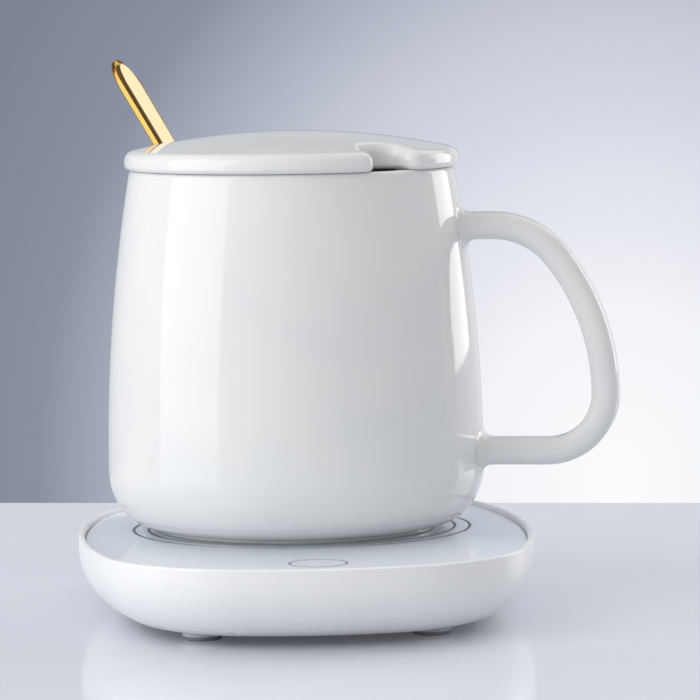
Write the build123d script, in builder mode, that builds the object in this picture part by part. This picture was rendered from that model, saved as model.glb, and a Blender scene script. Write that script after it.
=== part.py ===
from build123d import *
import math
import os

# Mug with warmer, in millimetres. The origin is the middle of the warmer on the table, +Z is up,
# the touch mark is at the front (-Y) and the mug's handle points to +X, turned a little forward.

# Warmer housing
WARMER_WIDTH = 114.0
WARMER_DEPTH = 157.0
SIDE_BOW = 12.0
END_BOW = 12.0
CORNER_RADIUS = 41.0
SHELL_HEIGHT = 17.7
LOWER_EDGE_RADIUS = 14.4
WALL = 2.2
RIM_WIDTH = 1.5
RIM_RISE = 1.2
RIM_ROUND = 0.55
DECK_THICK = 2.0
LEDGE_THICK = 2.0
LEDGE_WIDTH = 3.5
COVER_THICK = 2.0
COVER_INSET = 15.0
COVER_GAP = 0.2

# Feet and the screws hidden behind them
FOOT_INSET = 29.3
FOOT_SETBACK = 28.9
PAD_RADIUS = 4.6
PAD_HEIGHT = 1.0
PAD_ROUND = 0.45
STANDOFF_RADIUS = 4.9
STANDOFF_HEIGHT = 1.3
COVER_SCREW_LENGTH = 8.0
COLUMN_RADIUS = 3.1

# Screws: shank radius, head radius, head height, clearance in the held piece, play in the pilot hole
M3_SHANK = 1.5
M3_HEAD = 2.7
M3_HEAD_HEIGHT = 1.5
M2_SHANK = 1.0
M2_HEAD = 1.8
M2_HEAD_HEIGHT = 1.2
SCREW_CLEARANCE = 0.2
PILOT_PLAY = 0.05

# Glass and the ring that bonds it
GLASS_THICK = 3.0
GLASS_GAP = 0.2
GLASS_EDGE = 0.4
GASKET_THICK = 0.4
GASKET_WIDTH = 6.0

# Heater under the glass
HEATER_SETBACK = 64.25
SPREADER_RADIUS = 38.0
SPREADER_THICK = 1.5
FILM_RADIUS = 35.0
FILM_THICK = 0.4
INSULATION_RADIUS = 37.0
INSULATION_THICK = 2.0
TRAY_RADIUS = 39.5
TRAY_THICK = 0.8
DECK_HOLE_GAP = 2.0
EAR_COUNT = 3
EAR_OFFSET = 6.0
EAR_RADIUS = 3.6
TRAY_SCREW_LENGTH = 3.0
SENSOR_RADIUS = 2.2
SENSOR_HEIGHT = 1.4
SENSOR_ROUND = 0.35
WINDOW_GAP = 1.2
CUTOFF_LENGTH = 8.0
CUTOFF_WIDTH = 5.0
CUTOFF_HEIGHT = 1.6
CUTOFF_ROUND = 0.8
TERMINAL_OFFSET = 23.25

# Control board at the front
BOARD_WIDTH = 46.0
BOARD_DEPTH = 28.2
BOARD_SETBACK = 13.3
BOARD_THICK = 1.6
BOARD_DROP = 4.6
BOARD_CORNER = 7.0
BOARD_SCREW_INSET = 3.5
BOARD_SCREW_SETBACK = 11.2
BOARD_POST_RADIUS = 2.3
BOARD_SCREW_LENGTH = 4.5
CHIP_X = -7.0
CHIP_SIZE = 7.0
CHIP_HEIGHT = 1.2
TRANSISTOR_X = 6.5
TRANSISTOR_LENGTH = 6.5
TRANSISTOR_WIDTH = 6.0
TRANSISTOR_HEIGHT = 2.3
CAPACITOR_RADIUS = 2.5
CAPACITOR_HEIGHT = 4.0
CAPACITOR_ROUND = 0.4
CAPACITOR_X = 16.5
CAPACITOR_SETBACK = 11.5
PARTS_SETBACK = 9.0
PLUG_WIDTH = 6.0
PLUG_DEPTH = 5.0
PLUG_HEIGHT = 4.0
PLUG_PITCH = 9.0
PLUG_CHAMFER = 0.4

# Touch key under the glass
KEY_SETBACK = 20.8
ELECTRODE_RADIUS = 4.4
ELECTRODE_THICK = 0.2
POST_RADIUS = 2.4
GUIDE_RADIUS = 6.9
GUIDE_WALL = 1.6
KEY_WINDOW_GAP = 0.5
LED_COUNT = 4
LED_SIZE = 1.4
LED_HEIGHT = 0.8

# Power inlet in the rear wall
INLET_WIDTH = 20.0
INLET_DEPTH = 14.0
INLET_THICK = 1.2
INLET_WALL_GAP = 8.2
INLET_CLEARANCE = 0.4
INLET_SCREW_X = 7.6
INLET_SCREW_SETBACK = 5.0
INLET_SCREW_LENGTH = 3.0
USB_WIDTH = 8.94
USB_HEIGHT = 3.26
USB_LENGTH = 10.5
USB_METAL = 0.3
USB_RECESS = 2.4
USB_CORNER = 1.2
USB_GAP = 0.25
TONGUE_WIDTH = 6.6
TONGUE_THICK = 0.7
TONGUE_SETBACK = 1.0
TONGUE_ROOT = 2.0

# Leads
LEAD_RADIUS = 0.7
LEAD_PITCH = 2.2
LEAD_BEND = 1.4

# Mug
MUG_SHIFT = -1.2
MUG_TURN = -12.0
MUG_HEIGHT = 92.0
MUG_RADIUS = 47.9
MUG_RIM_RADIUS = 41.2
MUG_WALL = 4.0
MUG_RIM_WALL = 3.5
MUG_RIM_ROUND = 1.4
MUG_FOOT_RADIUS = 35.4
MUG_FOOT_WIDTH = 4.0
MUG_FOOT_HEIGHT = 1.0
MUG_FOOT_ROUND = 0.4
MUG_BELLY_HEIGHT = 16.0
MUG_FLOOR = 4.5

# Handle: a stadium section along a line, three tangent arcs and a line. The top run is set down from
# the rim and goes a little past the mug's widest part, and the lower run has its height above the glass.
HANDLE_THICK = 6.8
HANDLE_WIDTH = 11.0
HANDLE_ROUND = 3.2
HANDLE_DROP = 15.1
HANDLE_TOP_LENGTH = 3.5
HANDLE_SHOULDER_RADIUS = 20.3
HANDLE_SHOULDER_TURN = 51.4
HANDLE_ELBOW_RADIUS = 14.8
HANDLE_FOOT_HEIGHT = 19.8
HANDLE_ROOT_ROUND = 3.0
HANDLE_ROOT_SLACK = 0.3
HANDLE_PARTING = 0.02

# Lid
LID_RADIUS = 42.5
LID_EDGE = 4.4
LID_DOME = 9.3
LID_THICK = 4.6
LID_TOP_ROUND = 2.9
LID_LOWER_ROUND = 1.3
PLUG_RING_GAP = 0.6
PLUG_RING_WALL = 3.4
PLUG_RING_DEPTH = 3.4
NOTCH_WIDTH = 11.2
NOTCH_DEPTH = 11.5
NOTCH_CORNER = 4.0
NOTCH_MOUTH_ROUND = 3.2
HOLLOW_MARGIN = 2.0
FRONT_NOTCH_TURN = -54.6
SPOON_TURN = 140.1

# Spoon
SPOON_TILT = 36.5
SPOON_LENGTH = 141.5
SPOON_THICK = 2.0
SPOON_TIP_WIDTH = 8.6
SPOON_NECK_WIDTH = 6.0
SPOON_EDGE = 0.5
SPOON_REST_GAP = 0.45
BOWL_LENGTH = 36.0
BOWL_WIDTH = 23.0
BOWL_DROP = 6.5
BOWL_METAL = 1.1

# Heights that follow from these
cover_bottom = PAD_HEIGHT + STANDOFF_HEIGHT
cover_top = cover_bottom + COVER_THICK
cavity_floor = cover_top + LEDGE_THICK
rim_top = cover_bottom + SHELL_HEIGHT
glass_top = rim_top - RIM_RISE
glass_bottom = glass_top - GLASS_THICK
deck_top = glass_bottom - GASKET_THICK
deck_bottom = deck_top - DECK_THICK
film_top = glass_bottom - SPREADER_THICK
film_bottom = film_top - FILM_THICK
tray_top = film_bottom - INSULATION_THICK
tray_bottom = tray_top - TRAY_THICK
board_top = deck_bottom - BOARD_DROP
board_bottom = board_top - BOARD_THICK
guide_height = glass_bottom - board_top - LED_HEIGHT
inlet_top = cavity_floor + INLET_THICK
lead_height = board_top + LEAD_RADIUS + SCREW_CLEARANCE

# Places that follow from these
side_x = WARMER_WIDTH / 2
end_y = WARMER_DEPTH / 2
foot_x = side_x - FOOT_INSET
foot_y = end_y - FOOT_SETBACK
foot_places = [(x, y) for x in (-foot_x, foot_x) for y in (-foot_y, foot_y)]
heater_y = end_y - HEATER_SETBACK
terminal_y = heater_y - TERMINAL_OFFSET
key_y = KEY_SETBACK - end_y
board_front = BOARD_SETBACK - end_y
board_rear = board_front + BOARD_DEPTH
parts_y = board_rear - PARTS_SETBACK
capacitor_y = board_rear - CAPACITOR_SETBACK
ear_turns = [90.0 + i * 360.0 / EAR_COUNT for i in range(EAR_COUNT)]
ear_reach = TRAY_RADIUS + EAR_OFFSET
board_screw_x = BOARD_WIDTH / 2 - BOARD_SCREW_INSET
board_screw_rows = (board_front + BOARD_SCREW_SETBACK, board_rear - BOARD_SCREW_INSET)
board_screw_places = [(x, y) for x in (-board_screw_x, board_screw_x) for y in board_screw_rows]
inlet_rear = end_y - INLET_WALL_GAP
inlet_front = inlet_rear - INLET_DEPTH
inlet_screw_places = [(x, inlet_rear - INLET_SCREW_SETBACK) for x in (-INLET_SCREW_X, INLET_SCREW_X)]
usb_mouth = end_y - USB_RECESS
usb_middle = inlet_top + USB_HEIGHT / 2
heater_plug_x = PLUG_PITCH
sensor_plug_x = 0.0
power_plug_x = -PLUG_PITCH
plug_y = board_rear - PLUG_DEPTH / 2
cutoff_lead_x = heater_plug_x - LEAD_PITCH / 2
film_lead_x = heater_plug_x + LEAD_PITCH / 2
LOW = (Align.CENTER, Align.CENTER, Align.MIN)
HIGH = (Align.CENTER, Align.CENTER, Align.MAX)


def bow_radius(half_chord, bow):
    """Radius of an arc from its half chord and its rise."""
    return (half_chord**2 + bow**2) / (2 * bow)


def outline(height, inset=0.0):
    """The warmer's plan at a height: bowed sides and rounded corners, all set in alike."""
    side_radius = bow_radius(end_y - END_BOW, SIDE_BOW)
    end_radius = bow_radius(side_x - SIDE_BOW, END_BOW)
    side_centre = side_radius - side_x
    end_centre = end_radius - end_y
    span = math.hypot(side_centre, end_centre)
    along = ((side_radius - inset) ** 2 - (end_radius - inset) ** 2 + span**2) / (2 * span)
    across = math.sqrt((side_radius - inset) ** 2 - along**2)
    corner_x = (along * side_centre + across * end_centre) / span - side_centre
    corner_y = (across * side_centre - along * end_centre) / span
    x = side_x - inset
    y = end_y - inset
    with BuildSketch(Plane.XY.offset(height)) as plan:
        with BuildLine():
            ThreePointArc((-corner_x, -corner_y), (0, -y), (corner_x, -corner_y))
            ThreePointArc((corner_x, -corner_y), (x, 0), (corner_x, corner_y))
            ThreePointArc((corner_x, corner_y), (0, y), (-corner_x, corner_y))
            ThreePointArc((-corner_x, corner_y), (-x, 0), (-corner_x, -corner_y))
        make_face()
        fillet(plan.vertices(), CORNER_RADIUS - inset)
    return plan.sketch


def screw(places, seat, up, shank, head, head_height, length):
    """Screws with their heads against a seat height, shanks pointing up or down."""
    with BuildPart() as screws:
        with Locations(*[(x, y, seat) for x, y in places]):
            Cylinder(head, head_height, align=HIGH if up else LOW)
            Cylinder(shank, length, align=LOW if up else HIGH)
    return screws.part


def polar(reach, turn):
    """A point at a distance and direction from the heater's middle."""
    angle = math.radians(turn)
    return (reach * math.cos(angle), heater_y + reach * math.sin(angle))


def lead(points):
    """A wire along straight runs joined by tangent arcs."""
    with BuildPart() as wire:
        with BuildLine() as route:
            if len(points) > 2:
                FilletPolyline(*points, radius=LEAD_BEND)
            else:
                Line(*points)
        with BuildSketch(Plane(origin=route.line @ 0, z_dir=route.line % 0)):
            Circle(LEAD_RADIUS)
        sweep(path=route.line)
    return wire.part


os.makedirs("parts", exist_ok=True)
ear_places = [polar(ear_reach, turn) for turn in ear_turns]

# Room inside the housing: it follows the outer wall and stops under the deck
with BuildPart() as cavity:
    extrude(outline(cavity_floor, WALL), amount=SHELL_HEIGHT)
    fillet(cavity.faces().sort_by(Axis.Z)[0].edges(), LOWER_EDGE_RADIUS - WALL)
    split(bisect_by=Plane.XY.offset(deck_bottom), keep=Keep.BOTTOM)

# Housing: bowl-shaped wall with a rim round the glass, a deck under it and a ledge for the cover
with BuildPart() as outer_shell:
    extrude(outline(cover_bottom), amount=SHELL_HEIGHT)
    fillet(outer_shell.faces().sort_by(Axis.Z)[0].edges(), LOWER_EDGE_RADIUS)
    extrude(outline(deck_top, RIM_WIDTH), amount=rim_top - deck_top, mode=Mode.SUBTRACT)
    rim_face = outer_shell.faces().filter_by(Plane.XY).sort_by(Axis.Z)[-1]
    fillet(rim_face.edges(), RIM_ROUND)
    add(cavity.part, mode=Mode.SUBTRACT)
    extrude(outline(cover_bottom, COVER_INSET), amount=COVER_THICK, mode=Mode.SUBTRACT)
    ledge_hole = outline(cover_top, COVER_INSET + LEDGE_WIDTH)
    extrude(ledge_hole, amount=LEDGE_THICK, mode=Mode.SUBTRACT)
    with Locations(*[(x, y, cover_top) for x, y in foot_places]):
        Cylinder(COLUMN_RADIUS, deck_bottom - cover_top, align=LOW)
        Cylinder(M3_SHANK + PILOT_PLAY, COVER_SCREW_LENGTH, align=LOW, mode=Mode.SUBTRACT)
    with Locations((0, heater_y, deck_bottom)):
        Cylinder(SPREADER_RADIUS + DECK_HOLE_GAP, DECK_THICK, align=LOW, mode=Mode.SUBTRACT)
    with Locations((0, key_y, deck_bottom)):
        Cylinder(GUIDE_RADIUS + KEY_WINDOW_GAP, DECK_THICK, align=LOW, mode=Mode.SUBTRACT)
    with Locations(*[(x, y, tray_top) for x, y in ear_places]):
        Cylinder(EAR_RADIUS, deck_bottom - tray_top, align=LOW)
        Cylinder(M2_SHANK + PILOT_PLAY, TRAY_SCREW_LENGTH, align=LOW, mode=Mode.SUBTRACT)
    with Locations(*[(x, y, board_top) for x, y in board_screw_places]):
        Cylinder(BOARD_POST_RADIUS, deck_bottom - board_top, align=LOW)
        Cylinder(M2_SHANK + PILOT_PLAY, BOARD_SCREW_LENGTH, align=LOW, mode=Mode.SUBTRACT)
    with Locations((0, inlet_rear + INLET_CLEARANCE, cavity_floor)):
        Box(
            INLET_WIDTH + 2 * INLET_CLEARANCE,
            INLET_DEPTH,
            deck_bottom - cavity_floor,
            align=(Align.CENTER, Align.MAX, Align.MIN),
            mode=Mode.SUBTRACT,
        )
    with Locations(*[(x, y, cavity_floor) for x, y in inlet_screw_places]):
        Cylinder(
            M2_SHANK + PILOT_PLAY, INLET_SCREW_LENGTH - INLET_THICK, align=HIGH, mode=Mode.SUBTRACT
        )
    with BuildSketch(Plane.XZ.offset(-inlet_rear)):
        with Locations((0, usb_middle)):
            RectangleRounded(USB_WIDTH + 2 * USB_GAP, USB_HEIGHT + 2 * USB_GAP, USB_CORNER + USB_GAP)
    extrude(amount=-INLET_WALL_GAP, mode=Mode.SUBTRACT)
outer_shell.part.label = "outer_shell"
export_step(outer_shell.part, "parts/outer_shell.step")

# Underside: a plate in the housing's pocket, with a stand-off and a sunk screw at each foot
with BuildPart() as bottom_cover:
    extrude(outline(cover_bottom, COVER_INSET + COVER_GAP), amount=COVER_THICK)
    with Locations(*[(x, y, cover_bottom) for x, y in foot_places]):
        Cylinder(STANDOFF_RADIUS, STANDOFF_HEIGHT, align=HIGH)
    with Locations(*[(x, y, PAD_HEIGHT) for x, y in foot_places]):
        Cylinder(M3_HEAD + SCREW_CLEARANCE, M3_HEAD_HEIGHT, align=LOW, mode=Mode.SUBTRACT)
        Cylinder(M3_SHANK + SCREW_CLEARANCE, cover_top - PAD_HEIGHT, align=LOW, mode=Mode.SUBTRACT)
bottom_cover.part.label = "bottom_cover"
export_step(bottom_cover.part, "parts/bottom_cover.step")

cover_screws = screw(
    foot_places,
    PAD_HEIGHT + M3_HEAD_HEIGHT,
    True,
    M3_SHANK,
    M3_HEAD,
    M3_HEAD_HEIGHT,
    COVER_SCREW_LENGTH - PILOT_PLAY,
)
cover_screws.label = "cover_screws"
export_step(cover_screws, "parts/cover_screws.step")

# Rubber pads the warmer stands on
with BuildPart() as foot_pads:
    with Locations(*[(x, y, 0) for x, y in foot_places]):
        Cylinder(PAD_RADIUS, PAD_HEIGHT, align=LOW)
    fillet(foot_pads.faces().filter_by(Plane.XY).group_by(Axis.Z)[0].edges(), PAD_ROUND)
foot_pads.part.label = "foot_pads"
export_step(foot_pads.part, "parts/foot_pads.step")

# Glass top, a little below the rim
with BuildPart() as glass_plate:
    extrude(outline(glass_bottom, RIM_WIDTH + GLASS_GAP), amount=GLASS_THICK)
    chamfer(glass_plate.faces().sort_by(Axis.Z)[-1].edges(), GLASS_EDGE)
glass_plate.part.label = "glass_plate"
export_step(glass_plate.part, "parts/glass_plate.step")

# Adhesive ring between the glass and the deck
with BuildPart() as glass_gasket:
    extrude(outline(deck_top, RIM_WIDTH + GLASS_GAP), amount=GASKET_THICK)
    gasket_hole = outline(deck_top, RIM_WIDTH + GLASS_GAP + GASKET_WIDTH)
    extrude(gasket_hole, amount=GASKET_THICK, mode=Mode.SUBTRACT)
glass_gasket.part.label = "glass_gasket"
export_step(glass_gasket.part, "parts/glass_gasket.step")

# Aluminium disc that spreads the heat, bonded to the glass
with BuildPart() as heat_spreader:
    with Locations((0, heater_y, film_top)):
        Cylinder(SPREADER_RADIUS, SPREADER_THICK, align=LOW)
heat_spreader.part.label = "heat_spreader"
export_step(heat_spreader.part, "parts/heat_spreader.step")

# Etched foil heater on the underside of the disc
with BuildPart() as heating_film:
    with Locations((0, heater_y, film_bottom)):
        Cylinder(FILM_RADIUS, FILM_THICK, align=LOW)
heating_film.part.label = "heating_film"
export_step(heating_film.part, "parts/heating_film.step")


def windows(height, thick):
    """Openings through the insulation and the tray for the sensor, the cutoff and the bare lead."""
    with BuildPart() as openings:
        with Locations((0, heater_y, height)):
            Cylinder(SENSOR_RADIUS + WINDOW_GAP, thick, align=LOW)
        with Locations((film_lead_x, terminal_y, height)):
            Cylinder(LEAD_RADIUS + WINDOW_GAP, thick, align=LOW)
        with Locations((cutoff_lead_x - CUTOFF_LENGTH / 2, terminal_y, height)):
            Box(CUTOFF_LENGTH + WINDOW_GAP, CUTOFF_WIDTH + WINDOW_GAP, thick, align=LOW)
    return openings.part


# Fibre disc under the heater, open where the sensor, the cutoff and a lead reach the film
with BuildPart() as insulation_pad:
    with Locations((0, heater_y, tray_top)):
        Cylinder(INSULATION_RADIUS, INSULATION_THICK, align=LOW)
    add(windows(tray_top, INSULATION_THICK), mode=Mode.SUBTRACT)
insulation_pad.part.label = "insulation_pad"
export_step(insulation_pad.part, "parts/insulation_pad.step")

# Sheet steel tray that holds the heater against the glass, screwed to the deck by its ears
with BuildPart() as heater_tray:
    with Locations((0, heater_y, tray_bottom)):
        Cylinder(TRAY_RADIUS, TRAY_THICK, align=LOW)
    for turn in ear_turns:
        angle = math.radians(turn)
        ear_plane = Plane(
            origin=(0, heater_y, tray_bottom), x_dir=(math.cos(angle), math.sin(angle), 0), z_dir=(0, 0, 1)
        )
        with BuildSketch(ear_plane):
            with Locations((ear_reach, 0)):
                Circle(EAR_RADIUS)
            Rectangle(ear_reach, 2 * EAR_RADIUS, align=(Align.MIN, Align.CENTER))
            with Locations((ear_reach, 0)):
                Circle(M2_SHANK + SCREW_CLEARANCE, mode=Mode.SUBTRACT)
        extrude(amount=TRAY_THICK)
    add(windows(tray_bottom, TRAY_THICK), mode=Mode.SUBTRACT)
heater_tray.part.label = "heater_tray"
export_step(heater_tray.part, "parts/heater_tray.step")

tray_screws = screw(
    ear_places,
    tray_bottom,
    True,
    M2_SHANK,
    M2_HEAD,
    M2_HEAD_HEIGHT,
    TRAY_THICK + TRAY_SCREW_LENGTH - PILOT_PLAY,
)
tray_screws.label = "tray_screws"
export_step(tray_screws, "parts/tray_screws.step")

# Thermistor bead against the middle of the film
with BuildPart() as temperature_sensor:
    with Locations((0, heater_y, film_bottom)):
        Cylinder(SENSOR_RADIUS, SENSOR_HEIGHT, align=HIGH)
    fillet(temperature_sensor.faces().sort_by(Axis.Z)[0].edges(), SENSOR_ROUND)
temperature_sensor.part.label = "temperature_sensor"
export_step(temperature_sensor.part, "parts/temperature_sensor.step")

# Safety cutoff against the film, in line with one of the heater leads
with BuildPart() as thermal_cutoff:
    with Locations((cutoff_lead_x - CUTOFF_LENGTH / 2, terminal_y, film_bottom)):
        Box(CUTOFF_LENGTH, CUTOFF_WIDTH, CUTOFF_HEIGHT, align=HIGH)
    fillet(thermal_cutoff.edges().filter_by(Axis.Z), CUTOFF_ROUND)
thermal_cutoff.part.label = "thermal_cutoff"
export_step(thermal_cutoff.part, "parts/thermal_cutoff.step")

# Control board, hung from posts on the deck
with BuildPart() as control_board:
    with BuildSketch(Plane.XY.offset(board_bottom)) as board_plan:
        with Locations((0, board_front)):
            Rectangle(BOARD_WIDTH, BOARD_DEPTH, align=(Align.CENTER, Align.MIN))
        fillet(board_plan.vertices().group_by(Axis.Y)[0], BOARD_CORNER)
        with Locations(*board_screw_places):
            Circle(M2_SHANK + SCREW_CLEARANCE, mode=Mode.SUBTRACT)
    extrude(amount=BOARD_THICK)
control_board.part.label = "control_board"
export_step(control_board.part, "parts/control_board.step")

board_screws = screw(
    board_screw_places,
    board_bottom,
    True,
    M2_SHANK,
    M2_HEAD,
    M2_HEAD_HEIGHT,
    BOARD_THICK + BOARD_SCREW_LENGTH - PILOT_PLAY,
)
board_screws.label = "board_screws"
export_step(board_screws, "parts/board_screws.step")

# Parts soldered to the board
with BuildPart() as microcontroller:
    with Locations((CHIP_X, parts_y, board_top)):
        Box(CHIP_SIZE, CHIP_SIZE, CHIP_HEIGHT, align=LOW)
microcontroller.part.label = "microcontroller"
export_step(microcontroller.part, "parts/microcontroller.step")

with BuildPart() as power_transistor:
    with Locations((TRANSISTOR_X, parts_y, board_top)):
        Box(TRANSISTOR_LENGTH, TRANSISTOR_WIDTH, TRANSISTOR_HEIGHT, align=LOW)
power_transistor.part.label = "power_transistor"
export_step(power_transistor.part, "parts/power_transistor.step")

with BuildPart() as capacitors:
    with Locations(*[(x, capacitor_y, board_top) for x in (-CAPACITOR_X, CAPACITOR_X)]):
        Cylinder(CAPACITOR_RADIUS, CAPACITOR_HEIGHT, align=LOW)
    fillet(capacitors.faces().filter_by(Plane.XY).group_by(Axis.Z)[-1].edges(), CAPACITOR_ROUND)
capacitors.part.label = "capacitors"
export_step(capacitors.part, "parts/capacitors.step")

# Connectors along the rear edge of the board, one for each pair of leads
for plug_name, plug_x in (
    ("heater_plug", heater_plug_x),
    ("sensor_plug", sensor_plug_x),
    ("power_plug", power_plug_x),
):
    with BuildPart() as plug:
        with Locations((plug_x, plug_y, board_top)):
            Box(PLUG_WIDTH, PLUG_DEPTH, PLUG_HEIGHT, align=LOW)
        chamfer(plug.faces().sort_by(Axis.Z)[-1].edges(), PLUG_CHAMFER)
    plug.part.label = plug_name
    export_step(plug.part, "parts/" + plug_name + ".step")

# Touch key: copper disc under the glass, and the rubber post that joins it to the board
with BuildPart() as touch_electrode:
    with Locations((0, key_y, glass_bottom)):
        Cylinder(ELECTRODE_RADIUS, ELECTRODE_THICK, align=HIGH)
touch_electrode.part.label = "touch_electrode"
export_step(touch_electrode.part, "parts/touch_electrode.step")

with BuildPart() as touch_post:
    with Locations((0, key_y, board_top)):
        Cylinder(POST_RADIUS, glass_bottom - ELECTRODE_THICK - board_top, align=LOW)
touch_post.part.label = "touch_post"
export_step(touch_post.part, "parts/touch_post.step")

# Lamps round the touch key, and the clear ring that carries their light to the glass
with BuildPart() as key_leds:
    with Locations((0, key_y, board_top)):
        with PolarLocations(GUIDE_RADIUS - GUIDE_WALL / 2, LED_COUNT, start_angle=180.0 / LED_COUNT):
            Box(LED_SIZE, LED_SIZE, LED_HEIGHT, align=LOW)
key_leds.part.label = "key_leds"
export_step(key_leds.part, "parts/key_leds.step")

with BuildPart() as light_guide:
    with Locations((0, key_y, board_top + LED_HEIGHT)):
        Cylinder(GUIDE_RADIUS, guide_height, align=LOW)
        Cylinder(GUIDE_RADIUS - GUIDE_WALL, guide_height, align=LOW, mode=Mode.SUBTRACT)
light_guide.part.label = "light_guide"
export_step(light_guide.part, "parts/light_guide.step")

# Inlet board on the ledge behind the heater, with its screws and lead connector
with BuildPart() as inlet_board:
    with BuildSketch(Plane.XY.offset(cavity_floor)):
        with Locations((0, inlet_front)):
            Rectangle(INLET_WIDTH, INLET_DEPTH, align=(Align.CENTER, Align.MIN))
        with Locations(*inlet_screw_places):
            Circle(M2_SHANK + SCREW_CLEARANCE, mode=Mode.SUBTRACT)
    extrude(amount=INLET_THICK)
inlet_board.part.label = "inlet_board"
export_step(inlet_board.part, "parts/inlet_board.step")

inlet_screws = screw(
    inlet_screw_places, inlet_top, False, M2_SHANK, M2_HEAD, M2_HEAD_HEIGHT, INLET_SCREW_LENGTH - PILOT_PLAY
)
inlet_screws.label = "inlet_screws"
export_step(inlet_screws, "parts/inlet_screws.step")

with BuildPart() as inlet_plug:
    with Locations((power_plug_x, inlet_front, inlet_top)):
        Box(PLUG_WIDTH, PLUG_DEPTH, PLUG_HEIGHT, align=(Align.CENTER, Align.MIN, Align.MIN))
inlet_plug.part.label = "inlet_plug"
export_step(inlet_plug.part, "parts/inlet_plug.step")

# Power socket: a drawn metal shell, closed at the inner end, with a plastic tongue inside
with BuildPart() as usb_shell:
    with BuildSketch(Plane.XZ.offset(-usb_mouth)):
        with Locations((0, usb_middle)):
            RectangleRounded(USB_WIDTH, USB_HEIGHT, USB_CORNER)
    extrude(amount=USB_LENGTH)
    with BuildSketch(Plane.XZ.offset(-usb_mouth)):
        with Locations((0, usb_middle)):
            RectangleRounded(USB_WIDTH - 2 * USB_METAL, USB_HEIGHT - 2 * USB_METAL, USB_CORNER - USB_METAL)
    extrude(amount=USB_LENGTH - TONGUE_ROOT, mode=Mode.SUBTRACT)
usb_shell.part.label = "usb_shell"
export_step(usb_shell.part, "parts/usb_shell.step")

with BuildPart() as usb_tongue:
    with Locations((0, usb_mouth - USB_LENGTH + TONGUE_ROOT, usb_middle)):
        Box(
            TONGUE_WIDTH,
            USB_LENGTH - TONGUE_ROOT - TONGUE_SETBACK,
            TONGUE_THICK,
            align=(Align.CENTER, Align.MIN, Align.CENTER),
        )
usb_tongue.part.label = "usb_tongue"
export_step(usb_tongue.part, "parts/usb_tongue.step")

# Leads: the heater pair ends on the cutoff and on the film, the sensor pair on the thermistor
heater_leads = Compound(
    children=[
        lead(
            [
                (cutoff_lead_x, board_rear, lead_height),
                (cutoff_lead_x, terminal_y, lead_height),
                (cutoff_lead_x, terminal_y, film_bottom - CUTOFF_HEIGHT),
            ]
        ),
        lead(
            [
                (film_lead_x, board_rear, lead_height),
                (film_lead_x, terminal_y, lead_height),
                (film_lead_x, terminal_y, film_bottom),
            ]
        ),
    ]
)
heater_leads.label = "heater_leads"
export_step(heater_leads, "parts/heater_leads.step")

sensor_leads = Compound(
    children=[
        lead(
            [
                (side * LEAD_PITCH / 2, board_rear, lead_height),
                (side * LEAD_PITCH / 2, heater_y, lead_height),
                (side * LEAD_PITCH / 2, heater_y, film_bottom - SENSOR_HEIGHT),
            ]
        )
        for side in (-1, 1)
    ]
)
sensor_leads.label = "sensor_leads"
export_step(sensor_leads, "parts/sensor_leads.step")

power_leads = Compound(
    children=[
        lead(
            [
                (power_plug_x + side * LEAD_PITCH / 2, board_rear, lead_height),
                (power_plug_x + side * LEAD_PITCH / 2, inlet_front, lead_height),
            ]
        )
        for side in (-1, 1)
    ]
)
power_leads.label = "power_leads"
export_step(power_leads, "parts/power_leads.step")


def mug_plane(turn, height=0.0):
    """An upright plane through the mug's axis: x runs outwards, y runs up from the glass."""
    angle = math.radians(turn)
    return Plane(
        origin=(MUG_SHIFT, heater_y, glass_top + height),
        x_dir=(math.cos(angle), math.sin(angle), 0),
        z_dir=(math.sin(angle), -math.cos(angle), 0),
    )


def level_plane(turn, height):
    """A level plane on the mug's axis at a height above the glass: x runs outwards."""
    angle = math.radians(turn)
    return Plane(
        origin=(MUG_SHIFT, heater_y, glass_top + height),
        x_dir=(math.cos(angle), math.sin(angle), 0),
        z_dir=(0, 0, 1),
    )


def from_mug_axis(edge):
    """How far the middle of an edge is from the mug's axis."""
    middle = edge @ 0.5
    return math.hypot(middle.X - MUG_SHIFT, middle.Y - heater_y)


def meets_wall(edge):
    """Whether an edge lies along the mug's wall, not along the handle."""
    ends = [edge @ 0, edge @ 0.5, edge @ 1]
    reach = [math.hypot(p.X - MUG_SHIFT, p.Y - heater_y) for p in ends]
    return max(reach) < MUG_RADIUS + HANDLE_ROOT_SLACK


mug_axis = Axis((MUG_SHIFT, heater_y, 0), (0, 0, 1))
rim_inner = MUG_RIM_RADIUS - MUG_RIM_WALL
handle_top = MUG_HEIGHT - HANDLE_DROP
shoulder_drop = HANDLE_SHOULDER_RADIUS * (1 - math.cos(math.radians(HANDLE_SHOULDER_TURN)))
side_drop = handle_top - shoulder_drop - HANDLE_ELBOW_RADIUS - HANDLE_FOOT_HEIGHT
handle_side_radius = side_drop / math.cos(math.radians(HANDLE_SHOULDER_TURN))
notch_end = LID_RADIUS - NOTCH_DEPTH
hollow_radius = notch_end - HOLLOW_MARGIN

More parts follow.
